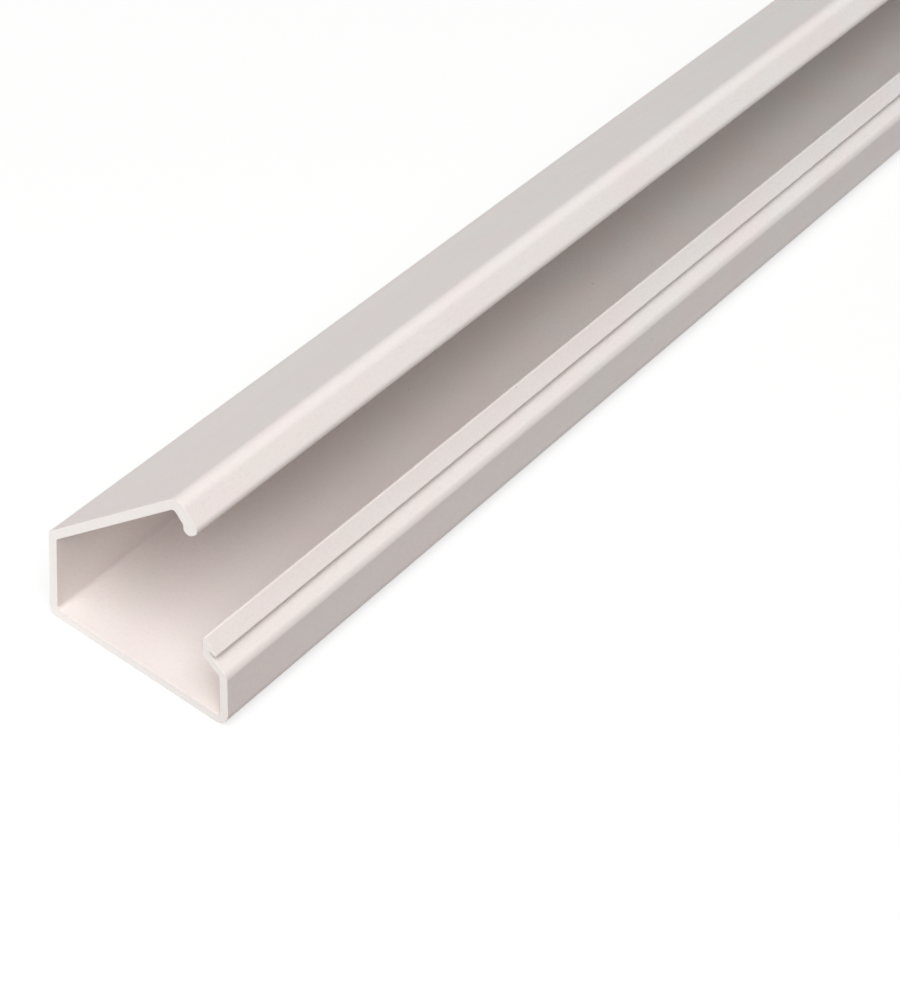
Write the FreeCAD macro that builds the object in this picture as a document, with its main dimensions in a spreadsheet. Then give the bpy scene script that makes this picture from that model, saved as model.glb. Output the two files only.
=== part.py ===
"""Latching cord cover raceway, one extruded piece of rigid PVC.

X runs across the channel, Y along its length and Z up. The origin is at the middle
of the flat underside. The hinge wall stands on the -X side and the catch wall on the
+X side. The lid stands open, and it would shut by bending about its inner knee, so
the catch is placed from the lid's own sizes.
"""
import FreeCAD, Part
import Sketcher
import math
import os

# Sizes in millimetres and degrees. Each one can be changed by itself.
SIZES = [
    ("length", 400.0, "cut length of the channel"),
    ("width", 24.4, "overall width of the base"),
    ("hinge_height", 11.4, "underside to the inner knee, where the lid bends"),
    ("wall", 1.05, "thickness of both side walls"),
    ("wall_lean", 2.0, "how far both side walls lean in"),
    ("floor_thickness", 1.2, "thickness of the base"),
    ("lid_angle", 42.0, "how far the lid stands open from shut"),
    ("lid_thickness", 1.1, "thickness of the lid panel"),
    ("lid_inset", 0.05, "how far the shut lid stops short of the base's width"),
    ("flange_depth", 4.15, "lid face to the tip of the closing flange"),
    ("flange_thickness", 1.6, "thickness of the closing flange"),
    ("flange_tip_round", 0.8, "outer round of the flange's tip"),
    ("flange_tip_flat", 0.5, "flat between the two rounds of the flange's tip"),
    ("bead_reach", 0.4, "how far the bead stands in from the flange"),
    ("bead_flat", 0.12, "height of the bead's flat above the round of the tip"),
    ("bead_taper", 0.5, "height over which the bead runs out into the flange"),
    ("latch_clearance", 0.05, "play between the flange and the catch when shut"),
    ("latch_bite", 0.35, "how far the catch's nose passes the bead when shut"),
    ("shelf_slope", 34.0, "slope of the shelf that turns in from the catch wall"),
    ("shelf_thickness", 1.05, "thickness of the shelf"),
    ("undercut_depth", 1.1, "catch's nose back to the bottom of its undercut"),
    ("undercut_rise", 0.35, "catch's nose up to the bottom of its undercut"),
    ("nose_thickness", 0.25, "height of the catch's blunt nose"),
    ("catch_width", 1.75, "catch's nose to the inner face of the catch"),
    ("catch_rise", 1.55, "height of the ramp from the nose to the catch's top"),
    ("catch_flat", 0.35, "width of the flat along the top of the catch"),
    ("hinge_base_round", 0.7, "outer round below the hinge wall"),
    ("catch_base_round", 2.0, "outer round below the catch wall"),
    ("shoulder_round", 1.1, "outer round between catch wall and shelf"),
    ("knee_round", 0.6, "outer round of the knee"),
    ("bend_round", 1.4, "outer round between lid and flange"),
    ("inner_round", 0.45, "rounds of the inside corners and of the shelf's edge"),
    ("bead_round", 0.2, "rounds of the bead and of the catch's inner top edge"),
    ("nose_round", 0.08, "rounds of the catch's nose and undercut"),
]

NODE = "raceway_channel"
EDGE_TOLERANCE = 0.02

LEAN = "sizes.wall_lean * 1 deg"
SLOPE = "sizes.shelf_slope * 1 deg"
FLANGE = "sizes.flange_thickness + sizes.bead_reach"
LIP_ROUND = f"({FLANGE} - sizes.flange_tip_round - sizes.flange_tip_flat)"
BEAD_HEIGHT = f"({LIP_ROUND} + sizes.bead_flat)"
HINGE_IN = f"(sizes.wall / cos({LEAN}) + sizes.hinge_height * tan({LEAN}))"
BEAD_INSET = f"(sizes.lid_inset + {FLANGE})"
TIP_HEIGHT = "(sizes.hinge_height + sizes.lid_thickness - sizes.flange_depth)"


def make_sheet(doc):
    """Write the sizes into a spreadsheet, one alias to a row."""
    sheet = doc.addObject("Spreadsheet::Sheet", "sizes")
    for row, (alias, number, meaning) in enumerate(SIZES, start=1):
        sheet.set(f"A{row}", alias)
        sheet.set(f"B{row}", str(number))
        sheet.set(f"C{row}", meaning)
        sheet.setAlias(f"B{row}", alias)
    return sheet


def origin_plane(body, role):
    """Find one of the body's own origin planes by its role."""
    for feature in body.Origin.OriginFeatures:
        if feature.Role == role:
            return feature
    raise RuntimeError(f"no origin plane {role}")


class Outline:
    """A closed outline in a sketch; each line is named after the corner it starts at."""

    def __init__(self, sketch, corners):
        self.sketch = sketch
        self.corners = corners
        self.names = list(corners)
        self.line = {}
        for name in self.names:
            start = FreeCAD.Vector(*corners[name], 0)
            end = FreeCAD.Vector(*corners[self.following(name)], 0)
            self.line[name] = sketch.addGeometry(Part.LineSegment(start, end), False)
        for name in self.names:
            first = self.line[name]
            second = self.line[self.following(name)]
            sketch.addConstraint(Sketcher.Constraint("Coincident", first, 2, second, 1))

    def following(self, name):
        """Name the corner that a line ends at."""
        index = self.names.index(name) + 1
        return self.names[index % len(self.names)]

    def align(self, kind, *names):
        """Make lines horizontal or vertical."""
        for name in names:
            self.sketch.addConstraint(Sketcher.Constraint(kind, self.line[name]))

    def relate(self, kind, first, *others):
        """Make lines parallel or perpendicular to the first one."""
        for name in others:
            pair = (self.line[first], self.line[name])
            self.sketch.addConstraint(Sketcher.Constraint(kind, *pair))

    def bind(self, constraint, label, expression):
        """Add a constraint under a name and bind its value to the sheet."""
        index = self.sketch.addConstraint(constraint)
        self.sketch.renameConstraint(index, label)
        self.sketch.setExpression(f"Constraints.{label}", expression)

    def across(self, first, second, label, expression):
        """Set how far a corner lies in +X from another."""
        span = self.corners[second][0] - self.corners[first][0]
        ends = (self.line[first], 1, self.line[second], 1)
        self.bind(Sketcher.Constraint("DistanceX", *ends, span), label, expression)

    def upward(self, first, second, label, expression):
        """Set how far a corner lies above another."""
        span = self.corners[second][1] - self.corners[first][1]
        ends = (self.line[first], 1, self.line[second], 1)
        self.bind(Sketcher.Constraint("DistanceY", *ends, span), label, expression)

    def incline(self, name, label, expression):
        """Set the direction that a line runs in."""
        start = self.corners[name]
        end = self.corners[self.following(name)]
        angle = math.atan2(end[1] - start[1], end[0] - start[0])
        self.bind(Sketcher.Constraint("Angle", self.line[name], angle), label, expression)

    def gauge(self, corner, name, label, expression):
        """Set the square distance of a corner from a line."""
        start = self.corners[name]
        end = self.corners[self.following(name)]
        run = (end[0] - start[0], end[1] - start[1])
        off = (self.corners[corner][0] - start[0], self.corners[corner][1] - start[1])
        gap = abs(run[0] * off[1] - run[1] * off[0]) / math.hypot(*run)
        ends = (self.line[corner], 1, self.line[name])
        self.bind(Sketcher.Constraint("Distance", *ends, gap), label, expression)

    def place(self, name):
        """Where a corner lies once the sketch is solved, as X and Z."""
        point = self.sketch.getPoint(self.line[name], 1)
        solved = self.sketch.Placement.multVec(point)
        return solved.x, solved.z


def channel_corners(size):
    """First places of the corners of base, walls, shelf and catch, as X and Z."""
    lean = math.tan(math.radians(size["wall_lean"]))
    slope = math.radians(size["shelf_slope"])
    fall = math.tan(slope)
    half = size["width"] / 2
    inner = half - size["wall"] / math.cos(math.radians(size["wall_lean"]))
    flange = size["flange_thickness"] + size["bead_reach"]
    lip = flange - size["flange_tip_round"] - size["flange_tip_flat"]
    play = size["latch_clearance"]
    bead = half - size["lid_inset"] - flange
    tip = size["hinge_height"] + size["lid_thickness"] - size["flange_depth"]
    ledge = tip + lip - (lip + play - lip * math.sin(slope)) / math.cos(slope)
    nose = bead + size["latch_bite"]
    barb = tip + lip + size["bead_flat"] + play
    catch = nose - size["catch_width"]
    ramp = barb + size["nose_thickness"]
    top = ramp + size["catch_rise"]
    under = ledge - size["shelf_thickness"] / math.cos(slope)
    shoulder = (ledge - (half - bead) * fall) / (1 - lean * fall)
    root = (under - (inner - bead) * fall) / (1 - lean * fall)
    base = size["floor_thickness"]
    return {
        "hinge_foot": (-half, 0),
        "catch_foot": (half, 0),
        "shoulder": (half - shoulder * lean, shoulder),
        "groove_floor": (bead - play, ledge + play * fall),
        "groove_tip": (nose - size["undercut_depth"], barb + size["undercut_rise"]),
        "nose_low": (nose, barb),
        "nose_high": (nose, ramp),
        "ramp_top": (catch + size["catch_flat"], top),
        "catch_top": (catch, top),
        "shelf_edge": (catch, under + (bead - catch) * fall),
        "shelf_root": (inner - root * lean, root),
        "catch_inner_foot": (inner - base * lean, base),
        "hinge_inner_foot": (-inner + base * lean, base),
    }


def lid_corners(size):
    """First places of the corners of the lid and its flange, as X and Z."""
    lean = math.radians(size["wall_lean"])
    turn = math.radians(size["lid_angle"])
    wall = size["wall"]
    panel = size["lid_thickness"]
    knee_x = -size["width"] / 2 + wall / math.cos(lean) + size["hinge_height"] * math.tan(lean)
    reach = size["width"] / 2 - size["lid_inset"] - knee_x
    inner = reach - size["flange_thickness"]
    bead = inner - size["bead_reach"]
    lip = reach - bead - size["flange_tip_round"] - size["flange_tip_flat"]
    tip = panel - size["flange_depth"]
    bead_top = tip + lip + size["bead_flat"]
    knee_back = (wall - panel * math.sin(turn + lean)) / math.cos(turn + lean)
    shut = {
        "inner_knee": (0, 0),
        "bend_inner": (inner, 0),
        "bead_root": (inner, bead_top + size["bead_taper"]),
        "bead_top": (bead, bead_top),
        "flange_tip_inner": (bead, tip),
        "flange_tip_outer": (reach, tip),
        "lid_bend": (reach, panel),
        "knee": (-knee_back, panel),
    }
    corners = {}
    for name, (along, above) in shut.items():
        x = knee_x + along * math.cos(turn) - above * math.sin(turn)
        z = size["hinge_height"] + along * math.sin(turn) + above * math.cos(turn)
        corners[name] = (x, z)
    return corners


def constrain_channel(outline):
    """Bind the base, the walls, the shelf and the catch to the sheet."""
    outline.align("Horizontal", "hinge_foot", "ramp_top", "catch_inner_foot")
    outline.align("Vertical", "nose_low", "catch_top")
    foot = outline.line["hinge_foot"]
    middle = Sketcher.Constraint("Symmetric", foot, 1, foot, 2, -1, 1)
    outline.sketch.addConstraint(middle)
    outline.relate("Parallel", "catch_foot", "shelf_root")
    outline.relate("Parallel", "hinge_inner_foot", "knee")
    outline.relate("Parallel", "shoulder", "shelf_edge")

    outline.across("hinge_foot", "catch_foot", "base_width", "sizes.width")
    outline.upward("hinge_foot", "hinge_inner_foot", "base_floor", "sizes.floor_thickness")
    outline.upward("hinge_foot", "inner_knee", "knee_height", "sizes.hinge_height")
    outline.incline("catch_foot", "catch_wall_lean", "(90 + sizes.wall_lean) * 1 deg")
    outline.incline("hinge_inner_foot", "hinge_wall_lean", "(90 - sizes.wall_lean) * 1 deg")
    outline.gauge("catch_inner_foot", "catch_foot", "catch_wall", "sizes.wall")
    outline.gauge("hinge_inner_foot", "knee", "hinge_wall", "sizes.wall")

    barb = f"{TIP_HEIGHT} + {BEAD_HEIGHT} + sizes.latch_clearance"
    outline.across("nose_low", "catch_foot", "nose_inset", f"{BEAD_INSET} - sizes.latch_bite")
    outline.upward("catch_foot", "nose_low", "nose_height", barb)
    outline.upward("nose_low", "nose_high", "nose_face", "sizes.nose_thickness")
    outline.across("groove_tip", "nose_low", "undercut_run", "sizes.undercut_depth")
    outline.upward("nose_low", "groove_tip", "undercut_lift", "sizes.undercut_rise")
    outline.across("catch_top", "nose_high", "catch_depth", "sizes.catch_width")
    outline.upward("nose_high", "ramp_top", "ramp_rise", "sizes.catch_rise")
    outline.across("catch_top", "ramp_top", "top_flat", "sizes.catch_flat")

    seat = f"({LIP_ROUND} * (1 - sin({SLOPE})) + sizes.latch_clearance) / cos({SLOPE})"
    seat_rise = f"sizes.latch_clearance * tan({SLOPE})"
    ledge = f"{TIP_HEIGHT} + {LIP_ROUND} - {seat} + {seat_rise}"
    groove = "sizes.latch_bite + sizes.latch_clearance"
    outline.incline("shoulder", "shelf_run", "(180 - sizes.shelf_slope) * 1 deg")
    outline.across("groove_floor", "nose_low", "groove_inset", groove)
    outline.upward("catch_foot", "groove_floor", "ledge_height", ledge)
    outline.gauge("shelf_edge", "shoulder", "shelf_gauge", "sizes.shelf_thickness")


def constrain_lid(outline):
    """Bind the lid, its flange and the bead to the sheet."""
    outline.relate("Parallel", "inner_knee", "lid_bend", "flange_tip_inner")
    outline.relate("Perpendicular", "inner_knee", "bend_inner", "bead_top", "flange_tip_outer")
    reach = f"sizes.width - sizes.lid_inset - {HINGE_IN}"
    outline.incline("inner_knee", "lid_opening", "sizes.lid_angle * 1 deg")
    outline.gauge("knee", "inner_knee", "lid_gauge", "sizes.lid_thickness")
    outline.gauge("inner_knee", "flange_tip_outer", "lid_reach", reach)
    outline.gauge("bend_inner", "flange_tip_outer", "flange_gauge", "sizes.flange_thickness")
    outline.gauge("flange_tip_inner", "lid_bend", "flange_drop", "sizes.flange_depth")
    outline.gauge("bead_top", "bend_inner", "bead_depth", "sizes.bead_reach")
    outline.gauge("bead_top", "flange_tip_inner", "bead_rise", BEAD_HEIGHT)
    taper = f"{BEAD_HEIGHT} + sizes.bead_taper"
    outline.gauge("bead_root", "flange_tip_inner", "taper_rise", taper)


def draw_section(body, size):
    """Draw the whole section on the plane across the channel."""
    sketch = body.newObject("Sketcher::SketchObject", "section")
    sketch.AttachmentSupport = [(origin_plane(body, "XZ_Plane"), "")]
    sketch.MapMode = "FlatFace"
    corners = channel_corners(size)
    corners.update(lid_corners(size))
    outline = Outline(sketch, corners)
    constrain_channel(outline)
    constrain_lid(outline)
    return outline


def extrude(body, sketch):
    """Pad the section to both sides of its plane, over the whole length."""
    pad = body.newObject("PartDesign::Pad", "extrusion")
    pad.Profile = sketch
    pad.SideType = "Symmetric"
    pad.setExpression("Length", "sizes.length")
    body.Tip = pad
    return pad


def long_edge(shape, place):
    """Name the straight edge along the channel that runs through X and Z."""
    for number, edge in enumerate(shape.Edges, start=1):
        start = edge.Vertexes[0].Point
        end = edge.Vertexes[-1].Point
        if abs(end.y - start.y) < EDGE_TOLERANCE:
            continue
        if math.hypot(start.x - place[0], start.z - place[1]) < EDGE_TOLERANCE:
            return f"Edge{number}"
    raise RuntimeError(f"no long edge at X {place[0]:.3f} Z {place[1]:.3f}")


def round_edges(doc, body, base, name, radius, places):
    """Round the long edges at the given places with one radius of the sheet."""
    edges = [long_edge(base.Shape, place) for place in places]
    fillet = body.newObject("PartDesign::Fillet", name)
    fillet.Base = (base, edges)
    fillet.setExpression("Radius", radius)
    body.Tip = fillet
    doc.recompute()
    return fillet


def make_channel(doc, size):
    """Build the raceway: one extruded section, then the rounds of its corners."""
    body = doc.addObject("PartDesign::Body", NODE)
    body.Label = NODE
    outline = draw_section(body, size)
    feature = extrude(body, outline.sketch)
    doc.recompute()

    rounds = [
        ("hinge_base_edge", "sizes.hinge_base_round", ["hinge_foot"]),
        ("catch_base_edge", "sizes.catch_base_round", ["catch_foot"]),
        ("shoulder_edge", "sizes.shoulder_round", ["shoulder"]),
        ("knee_edge", "sizes.knee_round", ["knee"]),
        ("bend_edge", "sizes.bend_round", ["lid_bend"]),
        ("flange_tip_edge", "sizes.flange_tip_round", ["flange_tip_outer"]),
        ("flange_lip_edge", LIP_ROUND, ["flange_tip_inner"]),
        ("floor_corners", "sizes.inner_round", ["catch_inner_foot", "hinge_inner_foot"]),
        ("shelf_edges", "sizes.inner_round", ["shelf_root", "shelf_edge"]),
        ("lid_corners", "sizes.inner_round", ["inner_knee", "bend_inner"]),
        ("bead_edges", "sizes.bead_round", ["bead_top", "bead_root", "catch_top"]),
        ("nose_edges", "sizes.nose_round", ["nose_low", "nose_high", "ramp_top"]),
        ("undercut_edges", "sizes.nose_round", ["groove_floor", "groove_tip"]),
    ]
    for name, radius, corners in rounds:
        places = [outline.place(corner) for corner in corners]
        feature = round_edges(doc, body, feature, name, radius, places)
    body.Placement = FreeCAD.Placement()
    return body


def check_document(doc, bodies):
    """Stop if any object failed or any piece is not one valid solid."""
    for item in doc.Objects:
        if "Invalid" in item.State or "Error" in item.State:
            raise RuntimeError(f"{item.Name} failed: {item.State}")
    for body in bodies:
        shape = body.Shape
        if shape.isNull() or not shape.isValid() or len(shape.Solids) != 1:
            raise RuntimeError(f"{body.Label} is not one valid solid")


def main():
    """Make the document, check it and write the piece."""
    doc = FreeCAD.newDocument("cord_raceway")
    make_sheet(doc)
    doc.recompute()
    size = {alias: number for alias, number, meaning in SIZES}
    channel = make_channel(doc, size)
    doc.recompute()
    check_document(doc, [channel])
    os.makedirs("parts", exist_ok=True)
    channel.Shape.exportStep(f"parts/{channel.Label}.step")
    box = channel.Shape.BoundBox
    section = channel.Shape.Volume / box.YLength
    print(f"{channel.Label}: X {box.XMin:.2f} to {box.XMax:.2f}, Z {box.ZMin:.2f} to {box.ZMax:.2f}")
    print(f"length {box.YLength:.1f} mm, section {section:.1f} mm2")


main()
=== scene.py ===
"""Looks of a latching cord cover raceway: one extruded length of white rigid PVC.

X runs across the channel, Y along it and Z up, in metres. The near sawn end faces -Y.
"""
import logging
import math
from dataclasses import dataclass
from enum import Enum

import bmesh
import bpy
from mathutils import Euler, Matrix, Vector


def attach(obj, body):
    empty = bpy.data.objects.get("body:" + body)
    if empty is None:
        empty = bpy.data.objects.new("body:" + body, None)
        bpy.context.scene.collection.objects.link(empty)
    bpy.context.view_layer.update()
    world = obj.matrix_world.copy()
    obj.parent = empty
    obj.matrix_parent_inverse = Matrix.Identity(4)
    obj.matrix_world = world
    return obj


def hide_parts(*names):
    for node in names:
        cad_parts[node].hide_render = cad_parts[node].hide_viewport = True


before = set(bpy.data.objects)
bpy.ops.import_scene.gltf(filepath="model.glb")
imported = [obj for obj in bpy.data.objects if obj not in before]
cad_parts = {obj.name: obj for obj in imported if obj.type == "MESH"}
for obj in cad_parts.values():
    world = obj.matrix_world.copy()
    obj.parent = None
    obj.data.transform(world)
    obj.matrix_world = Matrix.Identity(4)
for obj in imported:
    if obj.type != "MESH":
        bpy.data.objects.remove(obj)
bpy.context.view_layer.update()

LOG = logging.getLogger("raceway")
MM = 0.001
CAD_NODE = "raceway_channel"
BODY = "root"
SAWN_ATTRIBUTE = "sawn_end"

Colour = tuple[float, float, float]
Place = tuple[float, float, float]
Span = tuple[float, float]

WHITE: Colour = (1.0, 1.0, 1.0)


def opaque(colour: Colour) -> tuple[float, float, float, float]:
    """Add full alpha to a linear colour."""
    return (*colour, 1.0)


class StreakRun(Enum):
    """Which way a fine pattern is drawn out; each value scales it along X, Y and Z."""

    NONE = (1.0, 1.0, 1.0)
    ALONG_CHANNEL = (1.0, 0.004, 1.0)
    SLOW_ALONG_CHANNEL = (1.0, 0.3, 1.0)
    SAW_STROKE = (0.03, 1.0, 1.0)


class ShaderSheet:
    """A material's node tree, with short calls for the nodes that the finishes share."""

    def __init__(self, name: str) -> None:
        """Start an empty node tree.

        Args:
            name: The material's name.
        """
        self.material = bpy.data.materials.new(name)
        self.material.use_nodes = True
        self.tree = self.material.node_tree
        self.tree.nodes.clear()
        self.output = self.add("ShaderNodeOutputMaterial")

    def add(self, kind: str) -> bpy.types.Node:
        """Add one node of a kind."""
        return self.tree.nodes.new(kind)

    def link(self, source: bpy.types.NodeSocket, target: bpy.types.NodeSocket) -> None:
        """Join two sockets."""
        self.tree.links.new(source, target)

    def noise(self, grains_per_metre: float, run: StreakRun, detail: float,
              shift: Place = (0.0, 0.0, 0.0)) -> bpy.types.NodeSocket:
        """Add a noise on the piece's own coordinates.

        Args:
            grains_per_metre: How many grains fit in a metre across the run.
            run: Which way the grains are drawn out.
            detail: Octaves of finer noise.
            shift: How far the pattern is moved, so that two noises differ.

        Returns:
            The noise's factor, centred on 0.5.
        """
        where = self.add("ShaderNodeTexCoord")
        mapping = self.add("ShaderNodeMapping")
        mapping.inputs["Scale"].default_value = Vector(run.value) * grains_per_metre
        mapping.inputs["Location"].default_value = shift
        noise = self.add("ShaderNodeTexNoise")
        noise.inputs["Scale"].default_value = 1.0
        noise.inputs["Detail"].default_value = detail
        self.link(where.outputs["Object"], mapping.inputs["Vector"])
        self.link(mapping.outputs["Vector"], noise.inputs["Vector"])
        return noise.outputs["Fac"]

    def position(self, axis: str) -> bpy.types.NodeSocket:
        """Give the X, Y or Z of the piece's own coordinates, in metres."""
        where = self.add("ShaderNodeTexCoord")
        parts = self.add("ShaderNodeSeparateXYZ")
        self.link(where.outputs["Object"], parts.inputs["Vector"])
        return parts.outputs[axis]

    def reach(self) -> bpy.types.NodeSocket:
        """Give the distance from the piece's origin, in metres."""
        where = self.add("ShaderNodeTexCoord")
        length = self.add("ShaderNodeVectorMath")
        length.operation = "LENGTH"
        self.link(where.outputs["Object"], length.inputs[0])
        return length.outputs["Value"]

    def cells(self, cells_per_metre: float) -> bpy.types.NodeSocket:
        """Add scattered points on the piece's own coordinates.

        Args:
            cells_per_metre: How many points fit in a metre.

        Returns:
            The distance from the nearest point, in cells.
        """
        where = self.add("ShaderNodeTexCoord")
        points = self.add("ShaderNodeTexVoronoi")
        points.inputs["Scale"].default_value = cells_per_metre
        self.link(where.outputs["Object"], points.inputs["Vector"])
        return points.outputs["Distance"]

    def remap(self, value: bpy.types.NodeSocket, span: Span,
              result: Span = (0.0, 1.0)) -> bpy.types.NodeSocket:
        """Stretch a value from one span to another, clamped at both ends.

        Args:
            value: The socket to stretch.
            span: The two values that become the ends of the result.
            result: The two ends of the result.

        Returns:
            The stretched value.
        """
        node = self.add("ShaderNodeMapRange")
        ends = ("From Min", "From Max", "To Min", "To Max")
        for name, number in zip(ends, (*span, *result)):
            node.inputs[name].default_value = number
        self.link(value, node.inputs["Value"])
        return node.outputs["Result"]

    def multiply(self, first: bpy.types.NodeSocket,
                 second: bpy.types.NodeSocket) -> bpy.types.NodeSocket:
        """Multiply two values."""
        node = self.add("ShaderNodeMath")
        node.operation = "MULTIPLY"
        self.link(first, node.inputs[0])
        self.link(second, node.inputs[1])
        return node.outputs["Value"]

    def blend(self, factor: bpy.types.NodeSocket, first: bpy.types.NodeSocket | Colour,
              second: Colour) -> bpy.types.NodeSocket:
        """Mix two colours.

        Args:
            factor: 0 gives the first colour and 1 the second.
            first: A colour or a socket that gives one.
            second: The other colour.

        Returns:
            The mixed colour.
        """
        node = self.add("ShaderNodeMix")
        node.data_type = "RGBA"
        if isinstance(first, tuple):
            node.inputs["A"].default_value = opaque(first)
        else:
            self.link(first, node.inputs["A"])
        node.inputs["B"].default_value = opaque(second)
        self.link(factor, node.inputs["Factor"])
        return node.outputs["Result"]

    def bump(self, height: bpy.types.NodeSocket, depth: float,
             under: bpy.types.NodeSocket | None = None) -> bpy.types.NodeSocket:
        """Raise and lower the surface.

        Args:
            height: Pattern from 0 to 1.
            depth: Height of the pattern in metres.
            under: A coarser bump that this one lies on.

        Returns:
            The bumped normal.
        """
        node = self.add("ShaderNodeBump")
        node.inputs["Distance"].default_value = depth
        self.link(height, node.inputs["Height"])
        if under is not None:
            self.link(under, node.inputs["Normal"])
        return node.outputs["Normal"]


@dataclass(frozen=True)
class PvcFinish:
    """Satin white PVC: die lines and grain along the channel, saw marks on its ends."""

    warm_white: Colour = (0.875, 0.806, 0.776)
    cool_white: Colour = (0.855, 0.838, 0.812)
    patch_white: Colour = (0.89, 0.795, 0.775)
    # Sawn ends: their own whiter tone, lightened further as painted light where they face the
    # lamps.
    sawn_white_and_painted_light: Colour = (0.985, 0.95, 0.925)
    grain_shade: Colour = (0.83, 0.775, 0.76)
    speck_colour: Colour = (0.42, 0.37, 0.33)
    warm_to_cool: Span = (-0.2, -0.08)
    patches_per_metre: float = 130.0
    patch_span: Span = (0.42, 0.62)
    patch_share: float = 0.6
    refractive_index: float = 1.53
    gloss_span: Span = (0.3, 0.7)
    roughness: Span = (0.36, 0.5)
    waves_per_metre: float = 60.0
    wave_shift: Place = (5.0, 2.0, 9.0)
    wave_depth: float = 0.00012
    die_lines_per_metre: float = 2600.0
    die_line_depth: float = 0.000004
    grain_per_metre: float = 3200.0
    grain_span: Span = (0.5, 0.75)
    grain_depth: float = 0.000006
    specks_per_metre: float = 176.0
    speck_edge: Span = (0.018, 0.03)
    speck_share: float = 0.38
    saw_marks_per_metre: float = 5200.0
    saw_mark_depth: float = 0.00002

    def material(self) -> bpy.types.Material:
        """Build the node material."""
        sheet = ShaderSheet("extruded_white_pvc")
        shader = sheet.add("ShaderNodeBsdfPrincipled")
        shader.inputs["IOR"].default_value = self.refractive_index
        sheet.link(shader.outputs["BSDF"], sheet.output.inputs["Surface"])

        sawn = sheet.add("ShaderNodeAttribute")
        sawn.attribute_name = SAWN_ATTRIBUTE
        self.paint(sheet, shader, sawn.outputs["Fac"])
        self.texture(sheet, shader, sawn.outputs["Fac"])
        return sheet.material

    def paint(self, sheet: ShaderSheet, shader: bpy.types.Node,
              sawn: bpy.types.NodeSocket) -> None:
        """Give the base colour its drift, patches, grain, specks and lighter sawn ends.

        Args:
            sheet: The material's node tree.
            shader: The surface shader.
            sawn: 1 on the sawn ends and 0 elsewhere.
        """
        tint = sheet.remap(sheet.position("Y"), self.warm_to_cool)
        colour = sheet.blend(tint, self.warm_white, self.cool_white)
        patches = sheet.noise(self.patches_per_metre, StreakRun.NONE, 1.0)
        patches = sheet.remap(patches, self.patch_span, (0.0, self.patch_share))
        colour = sheet.blend(patches, colour, self.patch_white)
        grain = sheet.noise(self.grain_per_metre, StreakRun.NONE, 1.0)
        shade = sheet.remap(grain, self.grain_span)
        colour = sheet.blend(shade, colour, self.grain_shade)
        specks = sheet.cells(self.specks_per_metre)
        specks = sheet.remap(specks, self.speck_edge, (self.speck_share, 0.0))
        colour = sheet.blend(specks, colour, self.speck_colour)
        # Sawn ends are painted lighter: partly their own tone, partly painted light where they
        # face the lamps.
        colour = sheet.blend(sawn, colour, self.sawn_white_and_painted_light)
        sheet.link(colour, shader.inputs["Base Color"])

    def texture(self, sheet: ShaderSheet, shader: bpy.types.Node,
                sawn: bpy.types.NodeSocket) -> None:
        """Give the surface its slow wave, die lines, grain and saw marks.

        Args:
            sheet: The material's node tree.
            shader: The surface shader.
            sawn: 1 on the sawn ends and 0 elsewhere.
        """
        wave = sheet.noise(
            self.waves_per_metre, StreakRun.SLOW_ALONG_CHANNEL, 0.0, self.wave_shift
        )
        lines = sheet.noise(self.die_lines_per_metre, StreakRun.ALONG_CHANNEL, 1.0)
        grain = sheet.noise(self.grain_per_metre, StreakRun.NONE, 1.0)
        strokes = sheet.noise(self.saw_marks_per_metre, StreakRun.SAW_STROKE, 1.0)
        normal = sheet.bump(wave, self.wave_depth)
        normal = sheet.bump(lines, self.die_line_depth, normal)
        normal = sheet.bump(grain, self.grain_depth, normal)
        normal = sheet.bump(sheet.multiply(strokes, sawn), self.saw_mark_depth, normal)
        sheet.link(normal, shader.inputs["Normal"])
        roughness = sheet.remap(lines, self.gloss_span, self.roughness)
        sheet.link(roughness, shader.inputs["Roughness"])


@dataclass(frozen=True)
class FloorFinish:
    """A pale floor with the object's shadow, which turns plain white farther away.

    The light that it throws back is dimmer than it looks. On the hinge side it is brighter, as
    from a white card laid there.
    """

    seen_colour: Colour = WHITE
    bounce_colour: Colour = (0.26, 0.225, 0.214)
    card_colour: Colour = (0.62, 0.58, 0.56)
    card_edge: float = 0.02
    white_share: float = 0.66
    fade_span: Span = (0.3, 0.9)

    def material(self) -> bpy.types.Material:
        """Build the node material."""
        sheet = ShaderSheet("pale_floor")
        path = sheet.add("ShaderNodeLightPath")
        seen = sheet.add("ShaderNodeBsdfDiffuse")
        seen.inputs["Color"].default_value = opaque(self.seen_colour)
        white = sheet.add("ShaderNodeEmission")
        bounce = sheet.add("ShaderNodeBsdfDiffuse")
        edge = (-self.card_edge, self.card_edge)
        card = sheet.remap(sheet.position("X"), edge, (1.0, 0.0))
        colour = sheet.blend(card, self.bounce_colour, self.card_colour)
        sheet.link(colour, bounce.inputs["Color"])
        lift = sheet.add("ShaderNodeMixShader")
        share = sheet.remap(sheet.reach(), self.fade_span, (self.white_share, 1.0))
        sheet.link(share, lift.inputs["Fac"])
        sheet.link(seen.outputs["BSDF"], lift.inputs[1])
        sheet.link(white.outputs["Emission"], lift.inputs[2])
        direct = sheet.add("ShaderNodeMath")
        direct.operation = "MAXIMUM"
        sheet.link(path.outputs["Is Camera Ray"], direct.inputs[0])
        sheet.link(path.outputs["Is Glossy Ray"], direct.inputs[1])
        choice = sheet.add("ShaderNodeMixShader")
        sheet.link(direct.outputs["Value"], choice.inputs["Fac"])
        sheet.link(bounce.outputs["BSDF"], choice.inputs[1])
        sheet.link(lift.outputs["Shader"], choice.inputs[2])
        sheet.link(choice.outputs["Shader"], sheet.output.inputs["Surface"])
        return sheet.material


@dataclass(frozen=True)
class Corner:
    """One corner of the section before its round, in millimetres."""

    across: float
    up: float
    radius: float


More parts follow.
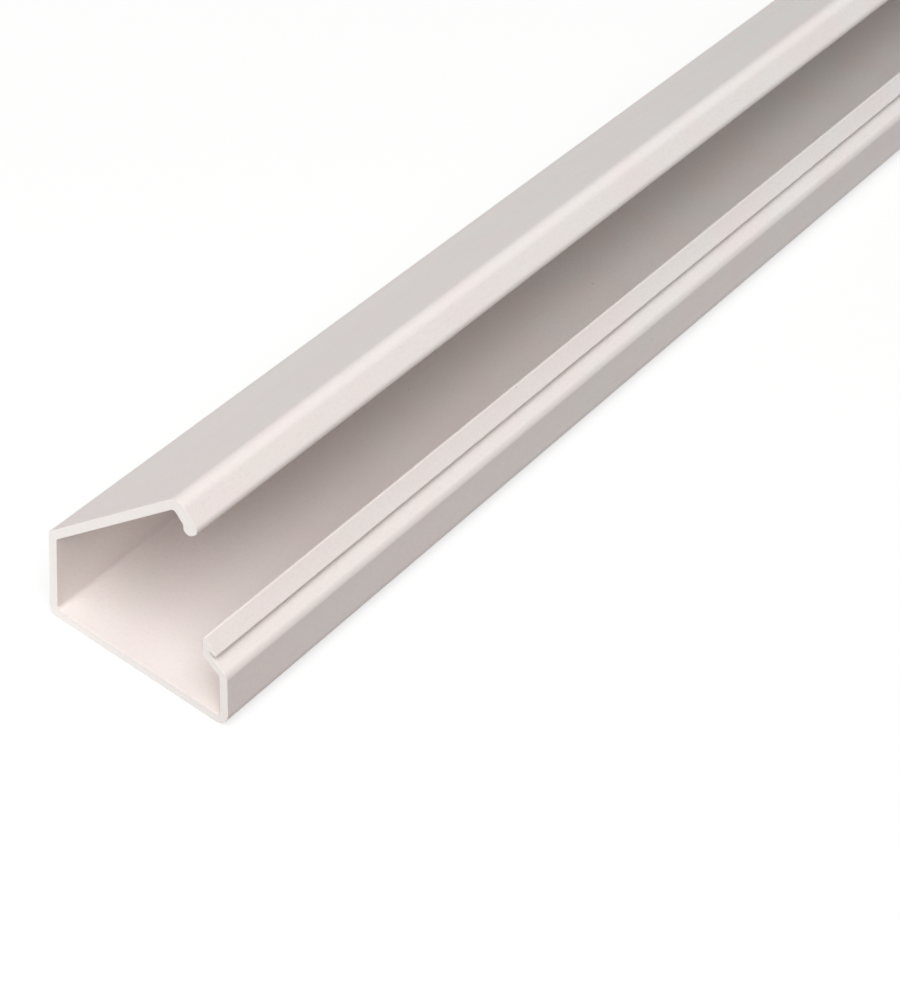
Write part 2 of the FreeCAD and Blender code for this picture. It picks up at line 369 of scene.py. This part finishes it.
@dataclass(frozen=True)
class ChannelSection:
    """Section of the channel, catch and open lid, in millimetres and degrees."""

    width: float = 24.4
    hinge_height: float = 11.4
    wall: float = 1.05
    wall_lean: float = 2.0
    floor_thickness: float = 1.2
    lid_angle: float = 42.0
    lid_thickness: float = 1.1
    lid_inset: float = 0.05
    flange_depth: float = 4.15
    flange_thickness: float = 1.6
    flange_tip_round: float = 0.8
    flange_tip_flat: float = 0.5
    bead_reach: float = 0.4
    bead_flat: float = 0.12
    bead_taper: float = 0.5
    latch_clearance: float = 0.05
    latch_bite: float = 0.35
    shelf_slope: float = 34.0
    shelf_thickness: float = 1.05
    undercut_depth: float = 1.1
    undercut_rise: float = 0.35
    nose_thickness: float = 0.25
    catch_width: float = 1.75
    catch_rise: float = 1.55
    catch_flat: float = 0.35
    hinge_base_round: float = 0.7
    catch_base_round: float = 2.0
    shoulder_round: float = 1.1
    knee_round: float = 0.6
    bend_round: float = 1.4
    inner_round: float = 0.45
    bead_round: float = 0.2
    nose_round: float = 0.08

    @property
    def flange(self) -> float:
        """Thickness of the flange with its bead."""
        return self.flange_thickness + self.bead_reach

    @property
    def lip_round(self) -> float:
        """Inner round of the flange's tip."""
        return self.flange - self.flange_tip_round - self.flange_tip_flat

    @property
    def lean(self) -> float:
        """How far a wall leans in for each millimetre of height."""
        return math.tan(math.radians(self.wall_lean))

    @property
    def inner_half(self) -> float:
        """Middle of the base to a wall's inner face, at the level of the underside."""
        return self.width / 2 - self.wall / math.cos(math.radians(self.wall_lean))

    @property
    def knee_across(self) -> float:
        """Place of the inner knee across the channel."""
        return -self.inner_half + self.hinge_height * self.lean

    def wall_corners(self) -> list[Corner]:
        """Corners of the base, the shelf and the catch, round from the hinge's foot."""
        slope = math.radians(self.shelf_slope)
        fall = math.tan(slope)
        half = self.width / 2
        lip = self.lip_round
        bead = half - self.lid_inset - self.flange
        tip = self.hinge_height + self.lid_thickness - self.flange_depth
        seat = (lip * (1 - math.sin(slope)) + self.latch_clearance) / math.cos(slope)
        ledge = tip + lip - seat
        nose = bead + self.latch_bite
        barb = tip + lip + self.bead_flat + self.latch_clearance
        ramp = barb + self.nose_thickness
        top = ramp + self.catch_rise
        catch = nose - self.catch_width
        under = ledge - self.shelf_thickness / math.cos(slope)
        shoulder = (ledge - (half - bead) * fall) / (1 - self.lean * fall)
        root = (under - (self.inner_half - bead) * fall) / (1 - self.lean * fall)
        base = self.floor_thickness
        foot = self.inner_half - base * self.lean
        groove = ledge + self.latch_clearance * fall
        return [
            Corner(-half, 0.0, self.hinge_base_round),
            Corner(half, 0.0, self.catch_base_round),
            Corner(half - shoulder * self.lean, shoulder, self.shoulder_round),
            Corner(bead - self.latch_clearance, groove, self.nose_round),
            Corner(nose - self.undercut_depth, barb + self.undercut_rise, self.nose_round),
            Corner(nose, barb, self.nose_round),
            Corner(nose, ramp, self.nose_round),
            Corner(catch + self.catch_flat, top, self.nose_round),
            Corner(catch, top, self.bead_round),
            Corner(catch, under + (bead - catch) * fall, self.inner_round),
            Corner(self.inner_half - root * self.lean, root, self.inner_round),
            Corner(foot, base, self.inner_round),
            Corner(-foot, base, self.inner_round),
        ]

    def lid_corners(self) -> list[Corner]:
        """Corners of the open lid, from its inner knee round the flange to its knee."""
        turn = math.radians(self.lid_angle)
        corner_angle = math.radians(self.lid_angle + self.wall_lean)
        reach = self.width / 2 - self.lid_inset - self.knee_across
        inner = reach - self.flange_thickness
        bead = reach - self.flange
        tip = self.lid_thickness - self.flange_depth
        bead_top = tip + self.lip_round + self.bead_flat
        knee = self.lid_thickness * math.tan(corner_angle) - self.wall / math.cos(corner_angle)
        shut = [
            Corner(0.0, 0.0, self.inner_round),
            Corner(inner, 0.0, self.inner_round),
            Corner(inner, bead_top + self.bead_taper, self.bead_round),
            Corner(bead, bead_top, self.bead_round),
            Corner(bead, tip, self.lip_round),
            Corner(reach, tip, self.flange_tip_round),
            Corner(reach, self.lid_thickness, self.bend_round),
            Corner(knee, self.lid_thickness, self.knee_round),
        ]
        opened = []
        for corner in shut:
            across = corner.across * math.cos(turn) - corner.up * math.sin(turn)
            up = corner.across * math.sin(turn) + corner.up * math.cos(turn)
            opened.append(
                Corner(self.knee_across + across, self.hinge_height + up, corner.radius)
            )
        return opened

    def corners(self) -> list[Corner]:
        """The whole outline in order."""
        return self.wall_corners() + self.lid_corners()


@dataclass
class RacewayChannel:
    """The extruded channel with its open lid: its section, drawn out and sawn off."""

    section: ChannelSection
    finish: PvcFinish
    length: float = 400.0
    degrees_per_facet: float = 7.5
    fewest_facets: int = 2
    sawn_edge: float = 0.05
    sawn_edge_facets: int = 2
    sawn_facing: float = 0.99
    flat_face_weight: int = 100

    def build(self) -> bpy.types.Object:
        """Model the channel and dress it.

        Returns:
            The finished piece, which stands for the CAD node.
        """
        shape = bmesh.new()
        self.draw_out(shape)
        self.round_corners(shape)
        self.ease_sawn_edges(shape)
        bmesh.ops.recalc_face_normals(shape, faces=shape.faces)
        self.mark_sawn_ends(shape)
        mesh = bpy.data.meshes.new("extruded_channel")
        shape.to_mesh(mesh)
        shape.free()
        mesh.shade_smooth()
        mesh.materials.append(self.finish.material())
        piece = bpy.data.objects.new("extruded_channel", mesh)
        bpy.context.scene.collection.objects.link(piece)
        self.even_shading(piece)
        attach(piece, BODY)
        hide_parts(CAD_NODE)
        return piece

    def draw_out(self, shape: bmesh.types.BMesh) -> None:
        """Draw the sharp-cornered section at the near end and extrude it to the far end.

        Args:
            shape: The empty mesh to draw in.
        """
        near = -self.length / 2
        places = [Vector((c.across, near, c.up)) * MM for c in self.section.corners()]
        loop = [shape.verts.new(place) for place in places]
        section = shape.faces.new(loop)
        drawn = bmesh.ops.extrude_face_region(shape, geom=[section])
        moved = [item for item in drawn["geom"] if isinstance(item, bmesh.types.BMVert)]
        bmesh.ops.translate(shape, verts=moved, vec=Vector((0.0, self.length * MM, 0.0)))

    def round_corners(self, shape: bmesh.types.BMesh) -> None:
        """Round each long edge by its own radius.

        Args:
            shape: The extruded mesh.
        """
        corners = self.section.corners()
        for index, corner in enumerate(corners):
            before = corners[index - 1]
            after = corners[(index + 1) % len(corners)]
            arrive = Vector((corner.across - before.across, corner.up - before.up))
            leave = Vector((after.across - corner.across, after.up - corner.up))
            turn = arrive.angle(leave)
            bmesh.ops.bevel(
                shape,
                geom=[self.long_edge(shape, corner)],
                offset=corner.radius * math.tan(turn / 2) * MM,
                offset_type="OFFSET",
                affect="EDGES",
                segments=self.facets(turn),
                profile=0.5,
                material=-1,
            )

    def facets(self, turn: float) -> int:
        """Count the facets of a round that turns by an angle in radians."""
        return max(self.fewest_facets, round(math.degrees(turn) / self.degrees_per_facet))

    def long_edge(self, shape: bmesh.types.BMesh, corner: Corner) -> bmesh.types.BMEdge:
        """Find the edge along the channel at a corner of the section.

        Args:
            shape: The mesh to look in.
            corner: The corner that the edge runs through.

        Returns:
            The edge that lies nearest to the corner.
        """
        place = Vector((corner.across * MM, corner.up * MM))

        def distance(edge: bmesh.types.BMEdge) -> float:
            """Distance of an edge from the corner, across the channel."""
            return (Vector(edge.verts[0].co.xz) - place).length

        half = self.length / 2 * MM
        return min((edge for edge in shape.edges if edge.calc_length() > half), key=distance)

    def ease_sawn_edges(self, shape: bmesh.types.BMesh) -> None:
        """Break the sharp edges round both sawn ends.

        Args:
            shape: The mesh with its long edges rounded.
        """
        half = self.length / 2 * MM
        edges = [edge for edge in shape.edges if edge.calc_length() < half]
        bmesh.ops.bevel(
            shape,
            geom=edges,
            offset=self.sawn_edge * MM,
            offset_type="OFFSET",
            affect="EDGES",
            segments=self.sawn_edge_facets,
            profile=0.5,
            material=-1,
        )

    def mark_sawn_ends(self, shape: bmesh.types.BMesh) -> None:
        """Store 1 on the sawn faces and 0 elsewhere, for the finish to read.

        Args:
            shape: The finished mesh.
        """
        layer = shape.faces.layers.float.new(SAWN_ATTRIBUTE)
        for face in shape.faces:
            face[layer] = 1.0 if abs(face.normal.y) > self.sawn_facing else 0.0

    def even_shading(self, piece: bpy.types.Object) -> None:
        """Keep the broad faces flat in shading and the rounds smooth."""
        weights = piece.modifiers.new("face_weights", "WEIGHTED_NORMAL")
        weights.mode = "FACE_AREA"
        weights.weight = self.flat_face_weight


@dataclass
class StudioFloor:
    """The plain floor that the channel lies on."""

    finish: FloorFinish
    half_side: float = 3.0
    drop: float = 0.00005

    def build(self) -> bpy.types.Object:
        """Lay the floor just under the channel.

        Returns:
            The floor.
        """
        shape = bmesh.new()
        level = Matrix.Translation((0.0, 0.0, -self.drop))
        bmesh.ops.create_grid(
            shape, x_segments=1, y_segments=1, size=self.half_side, matrix=level
        )
        mesh = bpy.data.meshes.new("studio_floor")
        shape.to_mesh(mesh)
        shape.free()
        mesh.materials.append(self.finish.material())
        floor = bpy.data.objects.new("studio_floor", mesh)
        bpy.context.scene.collection.objects.link(floor)
        return floor


@dataclass(frozen=True)
class SoftLamp:
    """A square soft box that looks at the channel."""

    name: str
    azimuth: float
    elevation: float
    side: float
    watts: float
    colour: Colour = WHITE
    distance: float = 1.3

    def build(self, target: Vector) -> bpy.types.Object:
        """Hang the lamp.

        Args:
            target: The point that it looks at.

        Returns:
            The lamp's object.
        """
        turn = Euler((-math.radians(self.elevation), 0.0, math.radians(self.azimuth)))
        direction = Vector((0.0, -1.0, 0.0))
        direction.rotate(turn)
        light = bpy.data.lights.new(self.name, "AREA")
        light.shape = "SQUARE"
        light.size = self.side
        light.energy = self.watts
        light.color = self.colour
        lamp = bpy.data.objects.new(self.name, light)
        lamp.location = target + direction * self.distance
        lamp.rotation_euler = direction.to_track_quat("Z", "Y").to_euler()
        bpy.context.scene.collection.objects.link(lamp)
        return lamp


@dataclass(frozen=True)
class Studio:
    """Sky and lamps at a plain level."""

    sky_colour: Colour = (1.0, 0.985, 0.97)
    sky_strength: float = 0.22
    lamps: tuple[SoftLamp, ...] = (
        SoftLamp("key_lamp", azimuth=27.0, elevation=57.0, side=1.1, watts=18.7),
        SoftLamp("front_lamp", azimuth=-15.0, elevation=8.0, side=0.5, watts=1.3),
    )
    aim: Place = (0.0, -0.12, 0.0)

    def build(self) -> None:
        """Light the scene with an even sky, a high soft key lamp and a low one in front."""
        self.paint_sky()
        for lamp in self.lamps:
            lamp.build(Vector(self.aim))

    def paint_sky(self) -> None:
        """Make the sky light the channel evenly and look white behind it."""
        world = bpy.data.worlds.new("studio_sky")
        world.use_nodes = True
        tree = world.node_tree
        tree.nodes.clear()
        output = tree.nodes.new("ShaderNodeOutputWorld")
        light = tree.nodes.new("ShaderNodeBackground")
        light.inputs["Color"].default_value = opaque(self.sky_colour)
        light.inputs["Strength"].default_value = self.sky_strength
        seen = tree.nodes.new("ShaderNodeBackground")
        seen.inputs["Color"].default_value = opaque(WHITE)
        path = tree.nodes.new("ShaderNodeLightPath")
        choice = tree.nodes.new("ShaderNodeMixShader")
        tree.links.new(path.outputs["Is Camera Ray"], choice.inputs["Fac"])
        tree.links.new(light.outputs["Background"], choice.inputs[1])
        tree.links.new(seen.outputs["Background"], choice.inputs[2])
        tree.links.new(choice.outputs["Shader"], output.inputs["Surface"])
        bpy.context.scene.world = world


@dataclass(frozen=True)
class PhotoCamera:
    """The camera at the viewing angle of the photograph."""

    place: Place = (0.12022, -0.32561, 0.18748)
    right: Place = (0.78964, 0.60948, 0.07075)
    ahead: Place = (-0.40742, 0.60705, -0.68227)
    focal_length: float = 90.0
    film_width: float = 36.0
    nearest: float = 0.01
    farthest: float = 20.0

    def build(self) -> bpy.types.Object:
        """Place the camera.

        Returns:
            The scene's camera.
        """
        lens = bpy.data.cameras.new("photo_camera")
        lens.lens = self.focal_length
        lens.sensor_width = self.film_width
        lens.clip_start = self.nearest
        lens.clip_end = self.farthest
        camera = bpy.data.objects.new("photo_camera", lens)
        back = -Vector(self.ahead).normalized()
        right = Vector(self.right)
        right = (right - back * right.dot(back)).normalized()
        above = back.cross(right)
        camera.matrix_world = Matrix.Translation(self.place) @ Matrix(
            (right, above, back)
        ).transposed().to_4x4()
        bpy.context.scene.collection.objects.link(camera)
        bpy.context.scene.camera = camera
        return camera


def main() -> None:
    """Build the camera, the channel, the floor and the light, and report each."""
    bpy.context.scene.view_settings.view_transform = "Standard"
    camera = PhotoCamera().build()
    LOG.info("%s: %.0f mm lens", camera.name, camera.data.lens)
    channel = RacewayChannel(ChannelSection(), PvcFinish()).build()
    LOG.info("%s: %d faces", channel.name, len(channel.data.polygons))
    floor = StudioFloor(FloorFinish()).build()
    LOG.info("%s: laid", floor.name)
    studio = Studio()
    studio.build()
    LOG.info("studio: sky and %d lamps", len(studio.lamps))


if __name__ == "__main__":
    logging.basicConfig(level=logging.INFO, format="%(message)s")
    main()
